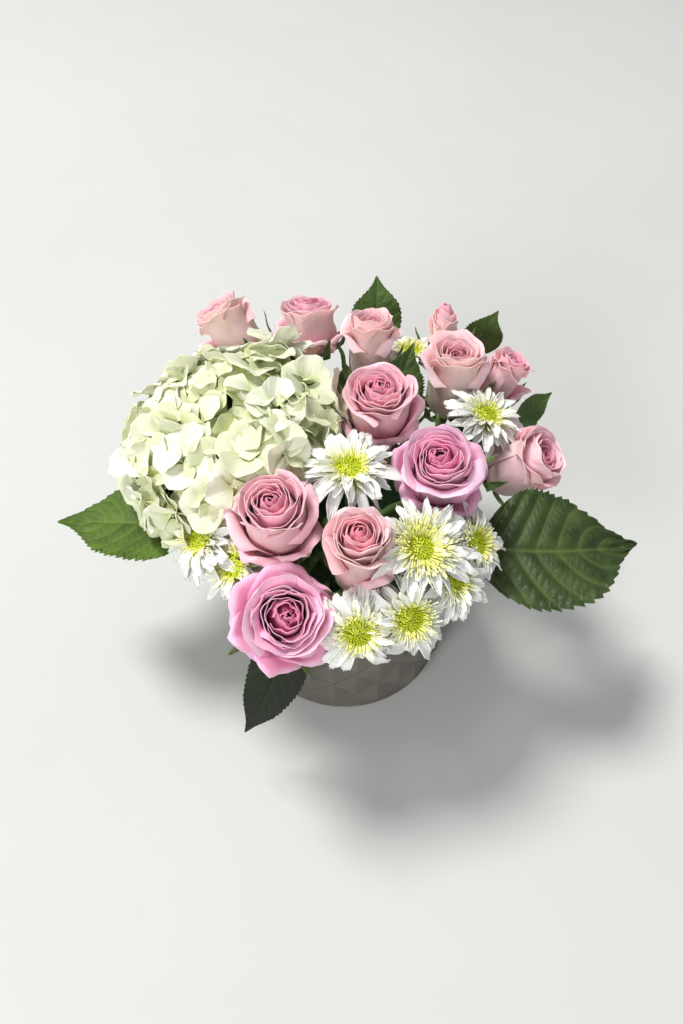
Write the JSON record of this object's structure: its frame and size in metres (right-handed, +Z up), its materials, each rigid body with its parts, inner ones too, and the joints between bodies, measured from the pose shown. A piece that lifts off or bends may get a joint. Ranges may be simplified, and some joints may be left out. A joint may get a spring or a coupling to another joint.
{
  "type": "floral table centerpiece",
  "caption": "Low dome of pink roses, white button-centred mums and a cream hydrangea with green leaves, in a round diamond-faceted ceramic bowl.",
  "frame": {"origin": "centre of the bowl's flat underside, at the base mount", "axes": "+Z up out of the bowl; -Y is the front, where the bowl shows and one leaf hangs over it; +X is the viewer's right, along the long way from leaf tip to leaf tip"},
  "size_m": [0.364, 0.2706, 0.2045],
  "materials": {
    "bowl_ceramic": "matt light greige glaze over a raised diamond relief",
    "wet_foam": "water-soaked green floral foam",
    "rose_petal": "soft satin pink petals, paler at the rim and deeper at the heart",
    "mum_petal": "ribbed white ray petals round a yellow-green button",
    "hydrangea_petal": "creamy white four-lobed florets with green recesses",
    "leaf_green": "waxy, veined, toothed leaf",
    "stem_green": "smooth fresh green stem"
  },
  "bodies": {
    "root": {"bowl": "bowl_ceramic", "floral_foam": "wet_foam", "rose_01": "rose_petal", "rose_02": "rose_petal", "rose_03": "rose_petal", "rose_04": "rose_petal", "rose_05": "rose_petal", "rose_06": "rose_petal", "rose_07": "rose_petal", "rose_08": "rose_petal", "rose_09": "rose_petal", "rose_10": "rose_petal", "rose_11": "rose_petal", "rose_12": "rose_petal", "rose_01_stem": "stem_green", "rose_02_stem": "stem_green", "rose_03_stem": "stem_green", "rose_04_stem": "stem_green", "rose_05_stem": "stem_green", "rose_06_stem": "stem_green", "rose_07_stem": "stem_green", "rose_08_stem": "stem_green", "rose_09_stem": "stem_green", "rose_10_stem": "stem_green", "rose_11_stem": "stem_green", "rose_12_stem": "stem_green", "mum_01": "mum_petal", "mum_02": "mum_petal", "mum_03": "mum_petal", "mum_04": "mum_petal", "mum_05": "mum_petal", "mum_06": "mum_petal", "mum_07": "mum_petal", "mum_08": "mum_petal", "mum_09": "mum_petal", "mum_10": "mum_petal", "mum_01_stem": "stem_green", "mum_02_stem": "stem_green", "mum_03_stem": "stem_green", "mum_04_stem": "stem_green", "mum_05_stem": "stem_green", "mum_06_stem": "stem_green", "mum_07_stem": "stem_green", "mum_08_stem": "stem_green", "mum_09_stem": "stem_green", "mum_10_stem": "stem_green", "hydrangea": "hydrangea_petal", "hydrangea_stem": "stem_green", "leaf_01": "leaf_green", "leaf_02": "leaf_green", "leaf_03": "leaf_green", "leaf_04": "leaf_green", "leaf_05": "leaf_green", "leaf_06": "leaf_green", "leaf_07": "leaf_green", "leaf_08": "leaf_green", "leaf_09": "leaf_green", "leaf_10": "leaf_green"}
  },
  "joints": []
}
